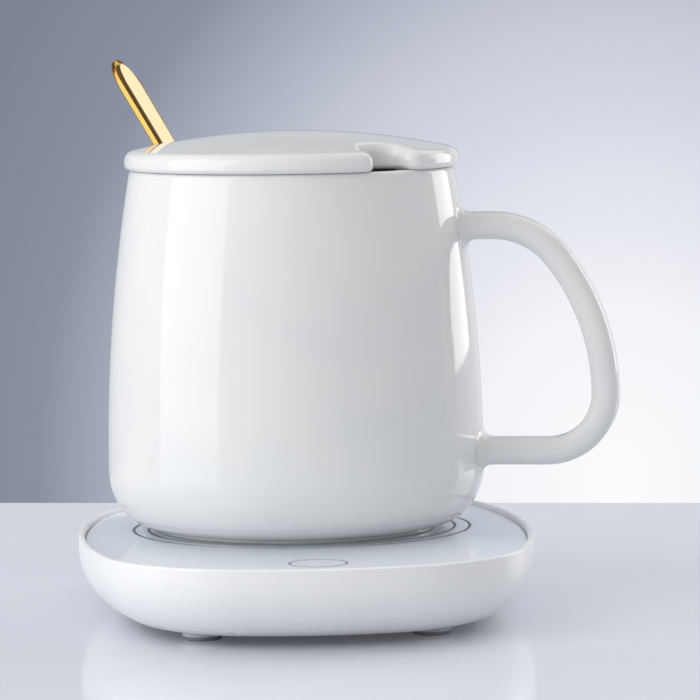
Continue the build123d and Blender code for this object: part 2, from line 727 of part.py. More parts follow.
# The spoon's line: it clears the rounded rim by the rest gap, and its bowl clears the floor by the same
lean = math.radians(SPOON_TURN)
tilt = math.radians(SPOON_TILT)
spoon_neck = BOWL_LENGTH / 2 - BOWL_METAL
rim_offset = MUG_RIM_ROUND * (1 - math.sin(tilt)) + SPOON_REST_GAP + SPOON_THICK / 2
reach_at_rim = rim_inner + MUG_RIM_ROUND - rim_offset / math.cos(tilt)
bowl_sink = math.hypot(BOWL_LENGTH / 2 * math.cos(tilt), BOWL_DROP * math.sin(tilt))
bowl_height = MUG_FLOOR + SPOON_REST_GAP + bowl_sink
bowl_reach = reach_at_rim - (MUG_HEIGHT - bowl_height) * math.tan(tilt)
spoon_plane = Plane(
    origin=(
        MUG_SHIFT + bowl_reach * math.cos(lean),
        heater_y + bowl_reach * math.sin(lean),
        glass_top + bowl_height,
    ),
    x_dir=(math.sin(tilt) * math.cos(lean), math.sin(tilt) * math.sin(lean), math.cos(tilt)),
    z_dir=(-math.cos(tilt) * math.cos(lean), -math.cos(tilt) * math.sin(lean), math.sin(tilt)),
)


def mug_outside(gap=0.0):
    """The mug's outer line, set out by a gap: an elliptical lower curve and a long arc."""
    EllipticalCenterArc(
        (MUG_FOOT_RADIUS, MUG_BELLY_HEIGHT),
        MUG_RADIUS - MUG_FOOT_RADIUS + gap,
        MUG_BELLY_HEIGHT - MUG_FOOT_HEIGHT + gap,
        start_angle=270,
        arc_size=90,
    )
    TangentArc((MUG_RADIUS + gap, MUG_BELLY_HEIGHT), (MUG_RIM_RADIUS + gap, MUG_HEIGHT), tangent=(0, 1))


def mug_block(gap):
    """Everything inside the mug's outer line, as one block."""
    with BuildPart() as block:
        with BuildSketch(mug_plane(MUG_TURN + 180)):
            with BuildLine():
                Polyline((0, 0), (MUG_FOOT_RADIUS, 0), (MUG_FOOT_RADIUS, MUG_FOOT_HEIGHT - gap))
                mug_outside(gap)
                Polyline((MUG_RIM_RADIUS + gap, MUG_HEIGHT), (0, MUG_HEIGHT), (0, 0))
            make_face()
        revolve(axis=mug_axis)
    return block.part


# Mug: a foot, the outer line up to the rim and a wall inside
with BuildPart() as mug:
    with BuildSketch(mug_plane(MUG_TURN + 180)):
        with BuildLine():
            Polyline(
                (0, MUG_FOOT_HEIGHT),
                (MUG_FOOT_RADIUS - MUG_FOOT_WIDTH, MUG_FOOT_HEIGHT),
                (MUG_FOOT_RADIUS - MUG_FOOT_WIDTH, 0),
                (MUG_FOOT_RADIUS, 0),
                (MUG_FOOT_RADIUS, MUG_FOOT_HEIGHT),
            )
            mug_outside()
            Line((MUG_RIM_RADIUS, MUG_HEIGHT), (rim_inner, MUG_HEIGHT))
            TangentArc(
                (MUG_RADIUS - MUG_WALL, MUG_BELLY_HEIGHT), (rim_inner, MUG_HEIGHT), tangent=(0, 1)
            )
            EllipticalCenterArc(
                (MUG_FOOT_RADIUS, MUG_BELLY_HEIGHT),
                MUG_RADIUS - MUG_WALL - MUG_FOOT_RADIUS,
                MUG_BELLY_HEIGHT - MUG_FLOOR,
                start_angle=270,
                arc_size=90,
            )
            Polyline((MUG_FOOT_RADIUS, MUG_FLOOR), (0, MUG_FLOOR), (0, MUG_FOOT_HEIGHT))
        make_face()
    revolve(axis=mug_axis)
    rim_edges = mug.edges().filter_by(GeomType.CIRCLE).group_by(Axis.Z)[-1]
    fillet(rim_edges, MUG_RIM_ROUND)
    foot_edges = mug.edges().filter_by(GeomType.CIRCLE).group_by(Axis.Z)[0]
    fillet(foot_edges, MUG_FOOT_ROUND)
mug.part.label = "mug"
export_step(mug.part, "parts/mug.step")

# Handle: joined to the mug's outside with flared roots, then parted from it a hair outside that line
with BuildPart() as mug_handle:
    add(mug_block(0.0))
    with BuildLine(mug_plane(MUG_TURN)) as handle_path:
        top_run = Line((MUG_RIM_RADIUS, handle_top), (MUG_RADIUS + HANDLE_TOP_LENGTH, handle_top))
        shoulder = JernArc(top_run @ 1, top_run % 1, HANDLE_SHOULDER_RADIUS, -HANDLE_SHOULDER_TURN)
        outer_side = JernArc(shoulder @ 1, shoulder % 1, handle_side_radius, HANDLE_SHOULDER_TURN - 90)
        elbow = JernArc(outer_side @ 1, outer_side % 1, HANDLE_ELBOW_RADIUS, -90)
        Line(elbow @ 1, (MUG_RADIUS - MUG_WALL / 2, HANDLE_FOOT_HEIGHT))
    with BuildSketch(Plane(origin=handle_path.line @ 0, x_dir=(0, 0, 1), z_dir=handle_path.line % 0)):
        RectangleRounded(HANDLE_THICK, HANDLE_WIDTH, HANDLE_ROUND)
    sweep(path=handle_path.line)
    root_edges = [e for e in mug_handle.edges(Select.LAST) if meets_wall(e)]
    fillet(root_edges, HANDLE_ROOT_ROUND)
    add(mug_block(HANDLE_PARTING), mode=Mode.SUBTRACT)
mug_handle.part.label = "mug_handle"
export_step(mug_handle.part, "parts/mug_handle.step")

# Ring under the lid that keeps it centred in the rim, cut away at both notches
with BuildPart() as plug_ring:
    with BuildSketch(mug_plane(MUG_TURN, MUG_HEIGHT)):
        with Locations((rim_inner - PLUG_RING_GAP, 0)):
            Rectangle(PLUG_RING_WALL, PLUG_RING_DEPTH, align=(Align.MAX, Align.MAX))
    revolve(axis=mug_axis)
    for turn in (FRONT_NOTCH_TURN, SPOON_TURN):
        with BuildSketch(level_plane(turn, MUG_HEIGHT)):
            with Locations((notch_end - LID_LOWER_ROUND, 0)):
                Rectangle(
                    NOTCH_DEPTH, NOTCH_WIDTH + 2 * LID_LOWER_ROUND, align=(Align.MIN, Align.CENTER)
                )
        extrude(amount=-PLUG_RING_DEPTH, mode=Mode.SUBTRACT)

# Lid: a shallow dome on the rim, with one notch for the spoon and one at the front
with BuildPart() as lid:
    with BuildSketch(mug_plane(MUG_TURN, MUG_HEIGHT)):
        with BuildLine():
            Polyline((0, LID_DOME), (0, 0), (LID_RADIUS, 0), (LID_RADIUS, LID_EDGE))
            TangentArc((0, LID_DOME), (LID_RADIUS, LID_EDGE), tangent=(1, 0))
        make_face()
    revolve(axis=mug_axis)
    for turn in (FRONT_NOTCH_TURN, SPOON_TURN):
        with BuildSketch(level_plane(turn, MUG_HEIGHT)):
            with Locations((notch_end, 0)):
                RectangleRounded(
                    2 * NOTCH_DEPTH, NOTCH_WIDTH, NOTCH_CORNER, align=(Align.MIN, Align.CENTER)
                )
        extrude(amount=LID_DOME, mode=Mode.SUBTRACT)
    mouth_edges = [e for e in lid.edges().filter_by(Axis.Z) if from_mug_axis(e) > LID_RADIUS - NOTCH_CORNER]
    fillet(mouth_edges, NOTCH_MOUTH_ROUND)
    fillet(lid.faces().sort_by(Axis.Z)[-1].edges(), LID_TOP_ROUND)
    fillet(lid.faces().sort_by(Axis.Z)[0].edges(), LID_LOWER_ROUND)
    with BuildSketch(mug_plane(MUG_TURN, MUG_HEIGHT)):
        with BuildLine():
            Polyline((0, LID_DOME - LID_THICK), (0, 0), (hollow_radius, 0))
            TangentArc((0, LID_DOME - LID_THICK), (hollow_radius, 0), tangent=(1, 0))
        make_face()
    revolve(axis=mug_axis, mode=Mode.SUBTRACT)
    add(plug_ring.part)
lid.part.label = "lid"
export_step(lid.part, "parts/lid.step")

# Spoon, first drawn flat: the bowl's middle at the origin, the handle along x, the bowl sinking below.
# The handle runs into the bowl's end and the hollow is cut last, through both
with BuildPart() as bowl_hollow:
    Sphere(1)
    scale(by=(BOWL_LENGTH / 2 - BOWL_METAL, BOWL_WIDTH / 2 - BOWL_METAL, BOWL_DROP - BOWL_METAL))

with BuildPart() as bowl:
    Sphere(1)
    scale(by=(BOWL_LENGTH / 2, BOWL_WIDTH / 2, BOWL_DROP))
    split(bisect_by=Plane.XY, keep=Keep.BOTTOM)

with BuildPart() as flat_spoon:
    with BuildSketch():
        with Locations((spoon_neck, 0)):
            Circle(SPOON_NECK_WIDTH / 2)
        with Locations((SPOON_LENGTH - BOWL_LENGTH / 2 - SPOON_TIP_WIDTH / 2, 0)):
            Circle(SPOON_TIP_WIDTH / 2)
        make_hull()
    extrude(amount=SPOON_THICK / 2, both=True)
    fillet(flat_spoon.faces().filter_by(Plane.XY).edges(), SPOON_EDGE)
    add(bowl.part)
    add(bowl_hollow.part, mode=Mode.SUBTRACT)

# The spoon leans on the rim in its notch, with its bowl on the floor of the mug
with BuildPart(spoon_plane) as spoon:
    add(flat_spoon.part)
spoon.part.label = "spoon"
export_step(spoon.part, "parts/spoon.step")
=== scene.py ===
import math

import bmesh
import bpy
from mathutils import Matrix, Vector


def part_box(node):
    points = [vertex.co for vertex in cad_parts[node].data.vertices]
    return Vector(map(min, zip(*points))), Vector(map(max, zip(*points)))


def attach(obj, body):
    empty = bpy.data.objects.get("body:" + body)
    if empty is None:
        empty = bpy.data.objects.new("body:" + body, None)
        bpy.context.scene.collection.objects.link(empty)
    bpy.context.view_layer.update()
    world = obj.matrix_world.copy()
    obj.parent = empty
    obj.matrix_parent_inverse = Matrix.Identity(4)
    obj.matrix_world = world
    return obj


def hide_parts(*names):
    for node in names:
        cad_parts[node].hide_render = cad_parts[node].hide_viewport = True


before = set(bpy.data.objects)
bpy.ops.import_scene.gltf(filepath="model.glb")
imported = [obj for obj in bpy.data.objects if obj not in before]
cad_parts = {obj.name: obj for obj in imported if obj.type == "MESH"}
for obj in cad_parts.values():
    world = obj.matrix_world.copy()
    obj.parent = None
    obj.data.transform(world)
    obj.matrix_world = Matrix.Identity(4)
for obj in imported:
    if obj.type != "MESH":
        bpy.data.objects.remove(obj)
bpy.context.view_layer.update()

# Housing: one injection-moulded ABS tray with a thin rim round the glass. The polished mould leaves
# a satin skin, and the cooling plastic a slow waviness some 25 mm long that bends its reflections.


def linear(code):
    """An sRGB hex colour as linear red, green, blue and alpha."""
    parts = [int(code[i : i + 2], 16) / 255 for i in (1, 3, 5)]
    return [p / 12.92 if p <= 0.04045 else ((p + 0.055) / 1.055) ** 2.4 for p in parts] + [1.0]


def add(tree, kind, inputs=None, stops=(), **settings):
    """Add one node: settings are its own properties, inputs are values or the sockets to link. A colour
    ramp also has stops, each a place and a colour, in order."""
    made = tree.nodes.new(kind)
    for name, value in settings.items():
        setattr(made, name, value)
    for name, value in (inputs or {}).items():
        if isinstance(value, bpy.types.NodeSocket):
            tree.links.new(value, made.inputs[name])
        else:
            made.inputs[name].default_value = value
    if stops:
        marks = made.color_ramp.elements
        for mark, (spot, code) in zip(marks, (stops[0], stops[-1])):
            mark.position = spot
            mark.color = linear(code)
        for spot, code in stops[1:-1]:
            marks.new(spot).color = linear(code)
    return made


def empty_material(name):
    """A material with no nodes yet, and its tree."""
    made = bpy.data.materials.new(name)
    made.use_nodes = True
    made.node_tree.nodes.clear()
    return made, made.node_tree


# Noise seldom leaves the span from low to high, so shades and gloss are spread over it
GRAIN_LOW = 0.3
GRAIN_HIGH = 0.7
GLOSS_SPREAD = 0.12


def surface(name, dark, light, grain_mm, roughness, relief_mm, metallic=0.0, stretch=(1, 1, 1)):
    """A finish whose shade, gloss and relief vary over grains of a given size, stretched along an axis."""
    made, tree = empty_material(name)
    place = add(tree, "ShaderNodeTexCoord")
    spread = add(tree, "ShaderNodeMapping", {"Vector": place.outputs["Object"], "Scale": stretch})
    grains = add(
        tree,
        "ShaderNodeTexNoise",
        {"Vector": spread.outputs["Vector"], "Scale": 1000 / grain_mm, "Detail": 3.0, "Roughness": 0.55},
    )
    shade = add(
        tree,
        "ShaderNodeValToRGB",
        {"Fac": grains.outputs["Fac"]},
        stops=((GRAIN_LOW, dark), (GRAIN_HIGH, light)),
    )
    gloss = add(
        tree,
        "ShaderNodeMapRange",
        {
            "Value": grains.outputs["Fac"],
            "From Min": GRAIN_LOW,
            "From Max": GRAIN_HIGH,
            "To Min": roughness * (1 - GLOSS_SPREAD),
            "To Max": roughness * (1 + GLOSS_SPREAD),
        },
    )
    relief = add(
        tree,
        "ShaderNodeBump",
        {"Height": grains.outputs["Fac"], "Strength": 0.6, "Distance": relief_mm / 1000},
    )
    shader = add(
        tree,
        "ShaderNodeBsdfPrincipled",
        {
            "Base Color": shade.outputs["Color"],
            "Metallic": metallic,
            "Roughness": gloss.outputs["Result"],
            "Normal": relief.outputs["Normal"],
        },
    )
    add(tree, "ShaderNodeOutputMaterial", {"Surface": shader.outputs["BSDF"]})
    return made


def dress(finish, *names):
    """Give a finish to pieces that keep the frame's own shape."""
    for name in names:
        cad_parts[name].material_slots[0].material = finish


dress(
    surface("abs_moulded_satin_white", "#f4f5f6", "#f7f8f8", grain_mm=25.0, roughness=0.3, relief_mm=0.006),
    "outer_shell",
)

# Underside: a flat ABS plate with the stand-offs for the feet, spark-eroded in the mould so that it is
# matt and hides scuffs. The grain is drawn a little coarser than the real one, which is under 0.2 mm.
dress(
    surface("abs_eroded_matt_white", "#d9dbde", "#e3e5e7", grain_mm=0.35, roughness=0.62, relief_mm=0.03),
    "bottom_cover",
)

# Feet: die-cut grey silicone rubber discs stuck over the cover screws, dull and slightly dusty. The
# touch key's post is the same rubber loaded with carbon.
dress(
    surface("silicone_rubber_grey", "#8a8c8e", "#9a9c9e", grain_mm=0.6, roughness=0.7, relief_mm=0.02),
    "foot_pads",
)
dress(
    surface(
        "silicone_rubber_carbon_loaded", "#232527", "#313436", grain_mm=0.6, roughness=0.72, relief_mm=0.02
    ),
    "touch_post",
)

# Glass: toughened glass with a pale blue enamel fired on its underside, so the colour lies under
# a mirror-smooth top. It is bonded to the deck with a black foam tape that never shows.
ENAMEL_CLOUD_MM = 45
printed_glass, tree = empty_material("glass_enamelled_pale_blue")
place = add(tree, "ShaderNodeTexCoord")
cloud = add(
    tree,
    "ShaderNodeTexNoise",
    {"Vector": place.outputs["Object"], "Scale": 1000 / ENAMEL_CLOUD_MM, "Detail": 1.0},
)
enamel = add(
    tree,
    "ShaderNodeValToRGB",
    {"Fac": cloud.outputs["Fac"]},
    stops=((0.35, "#e7eef7"), (0.65, "#ebf2fa")),
)
waviness = add(
    tree, "ShaderNodeBump", {"Height": cloud.outputs["Fac"], "Strength": 0.3, "Distance": 0.00002}
)
shader = add(
    tree,
    "ShaderNodeBsdfPrincipled",
    {
        "Base Color": enamel.outputs["Color"],
        "Roughness": 0.03,
        "IOR": 1.52,
        "Normal": waviness.outputs["Normal"],
    },
)
add(tree, "ShaderNodeOutputMaterial", {"Surface": shader.outputs["BSDF"]})
dress(printed_glass, "glass_plate")
dress(
    surface("foam_tape_black", "#1c1d1f", "#2a2b2d", grain_mm=0.5, roughness=0.8, relief_mm=0.02),
    "glass_gasket",
)

# Printed marks: two slate-grey rings that show where a cup goes and a small mauve-grey one over the touch
# key, screen printed on the glass in ceramic ink. It is half matt and two hundredths of a millimetre proud.


def geometry_tree(name, *inputs):
    """A Geometry Nodes tree with the given inputs, each a name and a kind, and the node that holds them."""
    made = bpy.data.node_groups.new(name, "GeometryNodeTree")
    made.interface.new_socket("Geometry", in_out="INPUT", socket_type="NodeSocketGeometry")
    for label, kind in inputs:
        made.interface.new_socket(label, in_out="INPUT", socket_type="NodeSocket" + kind)
    made.interface.new_socket("Geometry", in_out="OUTPUT", socket_type="NodeSocketGeometry")
    return made, add(made, "NodeGroupInput")


def deliver(tree, geometry, finish):
    """End a Geometry Nodes tree with its instances made real and given a finish."""
    plain = add(tree, "GeometryNodeRealizeInstances", {"Geometry": geometry})
    covered = add(
        tree, "GeometryNodeSetMaterial", {"Geometry": plain.outputs["Geometry"], "Material": finish}
    )
    add(tree, "NodeGroupOutput", {"Geometry": covered.outputs["Geometry"]})


def put(name, data):
    """A new object in the scene."""
    made = bpy.data.objects.new(name, data)
    bpy.context.scene.collection.objects.link(made)
    return made


ring_tree, given = geometry_tree(
    "printed_ring",
    ("Radius", "Float"),
    ("Line Width", "Float"),
    ("Ink Height", "Float"),
    ("Centre", "Vector"),
    ("Ink", "Material"),
)
circle = add(
    ring_tree, "GeometryNodeCurvePrimitiveCircle", {"Resolution": 288, "Radius": given.outputs["Radius"]}
)
stroke = add(
    ring_tree,
    "GeometryNodeCurvePrimitiveQuadrilateral",
    {"Width": given.outputs["Line Width"], "Height": given.outputs["Ink Height"]},
)
band = add(
    ring_tree,
    "GeometryNodeCurveToMesh",
    {"Curve": circle.outputs["Curve"], "Profile Curve": stroke.outputs["Curve"]},
)
placed = add(
    ring_tree,
    "GeometryNodeTransform",
    {"Geometry": band.outputs["Mesh"], "Translation": given.outputs["Centre"]},
)
deliver(ring_tree, placed.outputs["Geometry"], given.outputs["Ink"])


def grown(name, tree, values):
    """A plain mesh object that holds what a Geometry Nodes tree makes from the given values."""
    seed = put(name + "_seed", bpy.data.meshes.new(name + "_seed"))
    maker = seed.modifiers.new("maker", "NODES")
    maker.node_group = tree
    for item in tree.interface.items_tree:
        if item.in_out == "INPUT" and item.name in values:
            maker[item.identifier] = values[item.name]
    evaluated = seed.evaluated_get(bpy.context.evaluated_depsgraph_get())
    mesh = bpy.data.meshes.new_from_object(evaluated)
    mesh.name = name
    bpy.data.objects.remove(seed)
    return put(name, mesh)


glass_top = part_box("glass_plate")[1].z
heater_middle = (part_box("heat_spreader")[0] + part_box("heat_spreader")[1]) / 2
key_middle = (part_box("touch_electrode")[0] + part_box("touch_electrode")[1]) / 2
INK_HEIGHT = 0.00004
grey_ink = surface("ceramic_ink_slate", "#4f5c66", "#5b6871", grain_mm=1.5, roughness=0.35, relief_mm=0.002)
mauve_ink = surface(
    "ceramic_ink_mauve_grey", "#8689a2", "#9295ab", grain_mm=1.5, roughness=0.35, relief_mm=0.002
)
for name, middle, radius, width, ink in (
    ("cup_ring_outer", heater_middle, 0.0429, 0.0008, grey_ink),
    ("cup_ring_inner", heater_middle, 0.0391, 0.0008, grey_ink),
    ("touch_mark", key_middle, 0.00695, 0.0007, mauve_ink),
):
    mark = grown(
        name,
        ring_tree,
        {
            "Radius": radius,
            "Line Width": width,
            "Ink Height": INK_HEIGHT,
            "Centre": (middle.x, middle.y, glass_top),
            "Ink": ink,
        },
    )
    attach(mark, "warmer")

# Heater: an aluminium disc bonded under the glass spreads the heat of an etched foil on polyimide,
# with a felted fibre disc under it and a pressed steel tray that holds the stack up.
# Turned aluminium: pale grey and satin, its tool marks too fine to show one by one
dress(
    surface(
        "aluminium_turned",
        "#b4b7ba",
        "#c4c6c8",
        grain_mm=0.8,
        roughness=0.34,
        relief_mm=0.004,
        metallic=1.0,
    ),
    "heat_spreader",
    "capacitors",
)
# Polyimide film: amber, with the etched tracks paler in it
heater_foil, tree = empty_material("polyimide_with_etched_foil")
place = add(tree, "ShaderNodeTexCoord")
centred = add(
    tree,
    "ShaderNodeMapping",
    {"Vector": place.outputs["Object"], "Location": (-heater_middle.x, -heater_middle.y, 0.0)},
)
# The wave texture's rings are pi / 10 apart at scale one
TRACK_PITCH = 0.0025
tracks = add(
    tree,
    "ShaderNodeTexWave",
    {"Vector": centred.outputs["Vector"], "Scale": math.pi / 10 / TRACK_PITCH},
    wave_type="RINGS",
    rings_direction="Z",
)
foil = add(
    tree,
    "ShaderNodeValToRGB",
    {"Fac": tracks.outputs["Fac"]},
    stops=((0.42, "#a5641c"), (0.5, "#c98f4e")),
)
shader = add(tree, "ShaderNodeBsdfPrincipled", {"Base Color": foil.outputs["Color"], "Roughness": 0.3})
add(tree, "ShaderNodeOutputMaterial", {"Surface": shader.outputs["BSDF"]})
dress(heater_foil, "heating_film")
# Felt: dull cream and streaky, because the pressed fibres lie mostly one way
dress(
    surface(
        "felted_fibre_cream",
        "#cfc8b6",
        "#e6e1d3",
        grain_mm=0.7,
        roughness=0.95,
        relief_mm=0.1,
        stretch=(1, 0.35, 1),
    ),
    "insulation_pad",
)
# Zinc-plated rolled steel: grey satin, faintly lined along the rolling
dress(
    surface(
        "steel_rolled_zinc_plated",
        "#8f9396",
        "#a9adb0",
        grain_mm=0.5,
        roughness=0.36,
        relief_mm=0.004,
        metallic=1.0,
        stretch=(1, 0.1, 1),
    ),
    "heater_tray",
    "usb_shell",
    "cover_screws",
    "tray_screws",
    "board_screws",
    "inlet_screws",
)
# Dipped epoxy: glossy black and slightly uneven
dress(
    surface("epoxy_bead_black", "#1b1b1c", "#29292a", grain_mm=0.8, roughness=0.3, relief_mm=0.01),
    "temperature_sensor",
    "thermal_cutoff",
)

# Control board: glass-epoxy laminate under green solder mask, with its chip, transistor, connectors, the
# touch key and the leads. The weave of the laminate shows faintly through the mask.
# The brick texture's bricks are half a unit long at scale one
WEAVE_LENGTH = 0.001
solder_mask, tree = empty_material("glass_epoxy_green_mask")
place = add(tree, "ShaderNodeTexCoord")
weave = add(
    tree,
    "ShaderNodeTexBrick",
    {
        "Vector": place.outputs["Object"],
        "Scale": 0.5 / WEAVE_LENGTH,
        "Color1": linear("#0f5a33"),
        "Color2": linear("#12643a"),
        "Mortar": linear("#0b4a2a"),
        "Mortar Size": 0.06,
    },
)
shader = add(tree, "ShaderNodeBsdfPrincipled", {"Base Color": weave.outputs["Color"], "Roughness": 0.28})
add(tree, "ShaderNodeOutputMaterial", {"Surface": shader.outputs["BSDF"]})
dress(solder_mask, "control_board", "inlet_board")
# Moulding compound: silica-filled epoxy, black and half matt from the mould
dress(
    surface("moulding_compound_black", "#141415", "#202022", grain_mm=0.4, roughness=0.5, relief_mm=0.01),
    "microcontroller",
    "power_transistor",
    "usb_tongue",
)
# Undyed nylon: creamy white with a waxy half gloss
dress(
    surface("nylon_natural", "#d8d4c6", "#e4e0d3", grain_mm=0.8, roughness=0.45, relief_mm=0.01),
    "heater_plug",
    "sensor_plug",
    "power_plug",
    "inlet_plug",
)
# Copper foil: bright and pinkish
dress(
    surface(
        "copper_foil_bright",
        "#b8663c",
        "#c87a4e",
        grain_mm=0.6,
        roughness=0.3,
        relief_mm=0.004,
        metallic=1.0,
    ),
    "touch_electrode",
)
# Frosted acrylic: milky, so that it spreads the lamps' light
dress(
    surface("acrylic_frosted", "#dfe5ea", "#edf1f4", grain_mm=0.5, roughness=0.4, relief_mm=0.01),
    "key_leds",
    "light_guide",
)
# Silicone insulation: a soft half gloss, red for power and white for the sensor
dress(
    surface("silicone_lead_red", "#7d1512", "#931d18", grain_mm=0.9, roughness=0.45, relief_mm=0.01),
    "heater_leads",
    "power_leads",
)
dress(
    surface("silicone_lead_white", "#d5d4cf", "#e0dfda", grain_mm=0.9, roughness=0.45, relief_mm=0.01),
    "sensor_leads",
)

# Power socket: gold-plated contact strips on both faces of its tongue, twelve to a face at half a
# millimetre pitch, stamped from thin copper alloy.
contact_tree, given = geometry_tree(
    "socket_contacts",
    ("Count", "Int"),
    ("Pitch", "Float"),
    ("Strip", "Vector"),
    ("First", "Vector"),
    ("Other Face", "Vector"),
    ("Plating", "Material"),
)
step = add(contact_tree, "ShaderNodeCombineXYZ", {"X": given.outputs["Pitch"]})
row = add(
    contact_tree,
    "GeometryNodeMeshLine",
    {
        "Count": given.outputs["Count"],
        "Start Location": given.outputs["First"],
        "Offset": step.outputs["Vector"],
    },
)
strip = add(contact_tree, "GeometryNodeMeshCube", {"Size": given.outputs["Strip"]})
strips = add(
    contact_tree,
    "GeometryNodeInstanceOnPoints",
    {"Points": row.outputs["Mesh"], "Instance": strip.outputs["Mesh"]},
)
lower = add(
    contact_tree,
    "GeometryNodeTransform",
    {"Geometry": strips.outputs["Instances"], "Translation": given.outputs["Other Face"]},
)
both = add(contact_tree, "GeometryNodeJoinGeometry", {"Geometry": strips.outputs["Instances"]})
contact_tree.links.new(lower.outputs["Geometry"], both.inputs["Geometry"])
deliver(contact_tree, both.outputs["Geometry"], given.outputs["Plating"])

tongue_low, tongue_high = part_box("usb_tongue")
CONTACT_COUNT = 12
CONTACT_PITCH = 0.0005
CONTACT_SIZE = (0.00026, 0.0042, 0.00005)
CONTACT_SETBACK = 0.0026
plating = surface(
    "gold_flash_contacts", "#c99a3f", "#dcb05a", grain_mm=0.4, roughness=0.25, relief_mm=0.002, metallic=1.0
)
contacts = grown(
    "socket_contacts",
    contact_tree,
    {
        "Count": CONTACT_COUNT,
        "Pitch": CONTACT_PITCH,
        "Strip": CONTACT_SIZE,
        "First": (-(CONTACT_COUNT - 1) * CONTACT_PITCH / 2, tongue_high.y - CONTACT_SETBACK, tongue_high.z),
        "Other Face": (0.0, 0.0, tongue_low.z - tongue_high.z),
        "Plating": plating,
    },
)
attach(contacts, "warmer")

# Mug and lid: slip-cast porcelain, bisque fired and dipped in a white glaze. The glaze levels to
# a glossy skin with a slow waviness, and the foot it stands on in the kiln is wiped bare and stays matt.
GLAZE_POOL_MM = 28
GLAZE_RIPPLE_MM = 9
glaze, tree = empty_material("porcelain_white_glaze")
place = add(tree, "ShaderNodeTexCoord")
pooling = add(
    tree,
    "ShaderNodeTexNoise",
    {"Vector": place.outputs["Object"], "Scale": 1000 / GLAZE_POOL_MM, "Detail": 2.0},
)
glaze_shade = add(
    tree,
    "ShaderNodeValToRGB",
    {"Fac": pooling.outputs["Fac"]},
    stops=((0.35, "#e7e8e8"), (0.65, "#ebebea")),
)
# The bare ring under the foot ends just above the glass
BARE_FROM = glass_top + 0.0002
BARE_TO = glass_top + 0.0005
heights = add(tree, "ShaderNodeSeparateXYZ", {"Vector": place.outputs["Object"]})
bare = add(
    tree,
    "ShaderNodeMapRange",
    {
        "Value": heights.outputs["Z"],
        "From Min": BARE_FROM,
        "From Max": BARE_TO,
        "To Min": 1.0,
        "To Max": 0.0,
    },
)
# A mix node's colour sockets, which share their names with its other kinds
MIX_A = 6
MIX_B = 7
MIX_RESULT = 2
body_shade = add(
    tree,
    "ShaderNodeMix",
    {
        "Factor": bare.outputs["Result"],
        MIX_A: glaze_shade.outputs["Color"],
        MIX_B: linear("#dad9d5"),
    },
    data_type="RGBA",
)
gloss = add(tree, "ShaderNodeMapRange", {"Value": bare.outputs["Result"], "To Min": 0.06, "To Max": 0.85})
ripple = add(
    tree,
    "ShaderNodeTexNoise",
    {"Vector": place.outputs["Object"], "Scale": 1000 / GLAZE_RIPPLE_MM, "Detail": 1.0},
)
skin = add(tree, "ShaderNodeBump", {"Height": ripple.outputs["Fac"], "Strength": 0.25, "Distance": 0.000012})
shader = add(
    tree,
    "ShaderNodeBsdfPrincipled",
    {
        "Base Color": body_shade.outputs[MIX_RESULT],
        "Roughness": gloss.outputs["Result"],
        "IOR": 1.52,
        "Normal": skin.outputs["Normal"],
    },
)
add(tree, "ShaderNodeOutputMaterial", {"Surface": shader.outputs["BSDF"]})
dress(glaze, "mug", "mug_handle", "lid")

# Spoon: stamped stainless steel, polished and gold coated. The handle is a bar with rounded sides and a
# shallow bevel that leaves a flat face, drawn out to a blunt point. The bowl is pressed from the same sheet.
# The middle of the bowl, and the turn and tilt at which the spoon leans in the mug
SPOON_ORIGIN = Vector((0.01164, 0.00351, 0.03873))
SPOON_TURN = math.radians(140.1)
SPOON_TILT = math.radians(36.5)
OUTWARD = Vector((math.cos(SPOON_TURN), math.sin(SPOON_TURN), 0.0))
UPRIGHT = Vector((0.0, 0.0, 1.0))
SPOON_ALONG = math.sin(SPOON_TILT) * OUTWARD + math.cos(SPOON_TILT) * UPRIGHT
SPOON_UP = math.sin(SPOON_TILT) * UPRIGHT - math.cos(SPOON_TILT) * OUTWARD
SPOON_ACROSS = SPOON_UP.cross(SPOON_ALONG)
NECK_X = 0.0169
NECK_HALF_WIDTH = 0.0029
POINT_X = 0.1150
POINT_LENGTH = 0.0085
POINT_HALF_WIDTH = 0.0041
BAR_TOP = 0.0010
BEVEL_FOOT = 0.00071
BAR_UNDER = -0.0011
POINT_DROP = 0.00046
POINT_STRETCH = 1.3
NECK_BEVEL_SHARE = 0.3
BAR_STEPS = 40
FACE_MARGIN = 0.00005
BOWL_SIZE = Vector((0.0180, 0.0115, 0.0065))
BOWL_METAL = 0.0011
BOWL_STEPS = 96
BOWL_RINGS = 24
RIM_STEPS = 6
RIM_HEIGHT_SHARE = 0.6
RIM_DROP = 0.0004


def spoon_point(x, y, z):
    """A point of the flat spoon, put where the spoon leans in the mug."""
    return SPOON_ORIGIN + x * SPOON_ALONG + y * SPOON_ACROSS + z * SPOON_UP


def bar_ring(shape, inset, height, steps):
    """A ring round the handle: half an ellipse at the point, half a circle at the neck. The bevel is
    steepest at the point, where its foot drops, and narrows towards the neck."""
    above = (BAR_TOP - height) / (BAR_TOP - BEVEL_FOOT)
    below = (height - BAR_UNDER) / (BEVEL_FOOT - BAR_UNDER)
    drop = POINT_DROP * min(above, below)
    ring = []
    for i in range(steps + 1):
        turn = math.pi * (i / steps - 0.5)
        ahead = math.cos(turn)
        x = POINT_X + (POINT_LENGTH - POINT_STRETCH * inset) * ahead
        y = (POINT_HALF_WIDTH - inset) * math.sin(turn)
        ring.append(shape.verts.new(spoon_point(x, y, height - drop * ahead)))
    for i in range(steps + 1):
        turn = math.pi * (i / steps + 0.5)
        reach = NECK_HALF_WIDTH - NECK_BEVEL_SHARE * inset
        x = NECK_X + reach * math.cos(turn)
        y = reach * math.sin(turn)
        ring.append(shape.verts.new(spoon_point(x, y, height)))
    return ring


